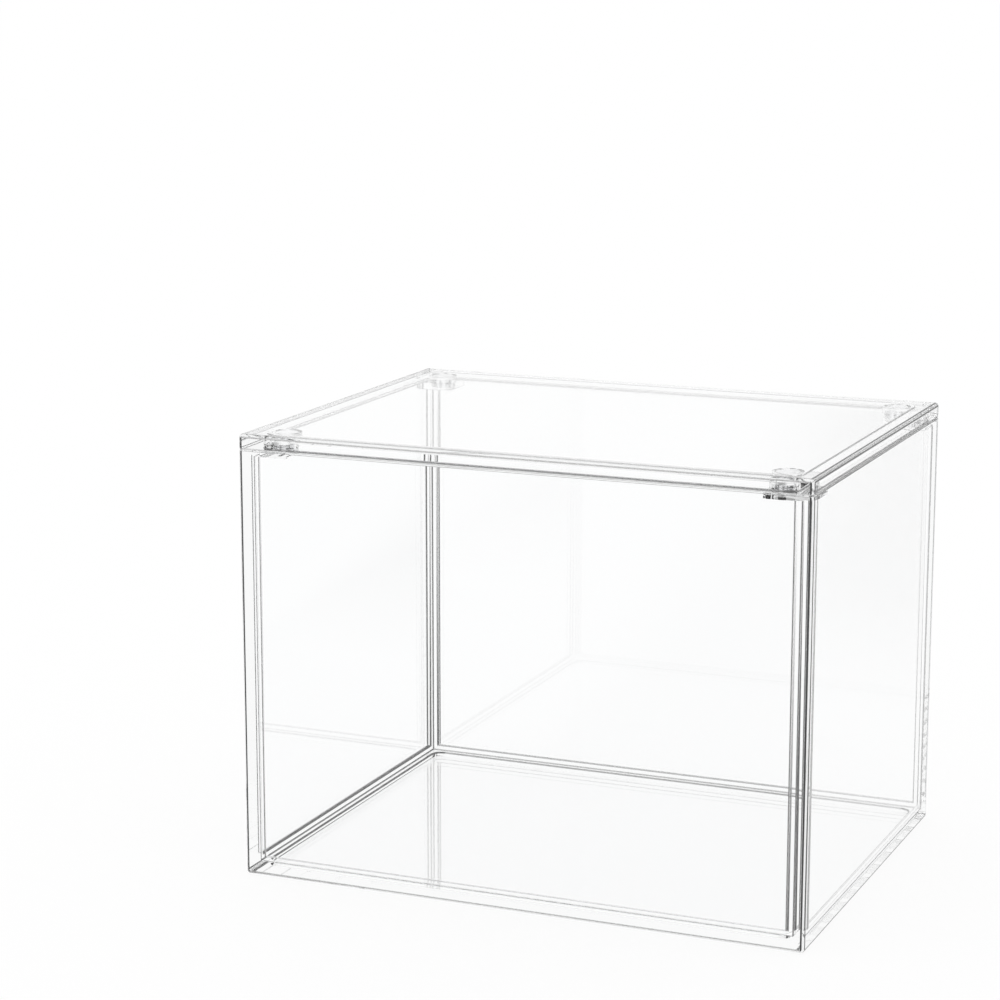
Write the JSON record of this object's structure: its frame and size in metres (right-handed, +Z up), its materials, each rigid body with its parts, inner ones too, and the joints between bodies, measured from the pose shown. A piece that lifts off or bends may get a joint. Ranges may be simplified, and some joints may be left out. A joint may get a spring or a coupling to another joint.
{
  "type": "game box protector",
  "caption": "Clear rigid display case for a boxed game, with thicker edge rails and a lift-off lid held by small disc magnets.",
  "frame": {"origin": "centre of the face that the closed case stands on", "axes": "+Z up, +X along the long side, front at -Y"},
  "size_m": [0.148, 0.113, 0.114],
  "materials": {
    "clear_acrylic": "water-clear moulded plastic, polished on both sides",
    "nickel_plate": "bright nickel plate"
  },
  "bodies": {
    "tub_body": {"tub": "clear_acrylic", "tub_magnet_front_left": "nickel_plate", "tub_magnet_front_right": "nickel_plate", "tub_magnet_rear_left": "nickel_plate", "tub_magnet_rear_right": "nickel_plate"},
    "lid_body": {"lid": "clear_acrylic", "lid_magnet_front_left": "nickel_plate", "lid_magnet_front_right": "nickel_plate", "lid_magnet_rear_left": "nickel_plate", "lid_magnet_rear_right": "nickel_plate"}
  },
  "joints": [
    {"name": "lid_lift", "type": "slide", "parent": "tub_body", "child": "lid_body", "axis": [0, 0, 1], "range_m": [0, 0.12]}
  ]
}
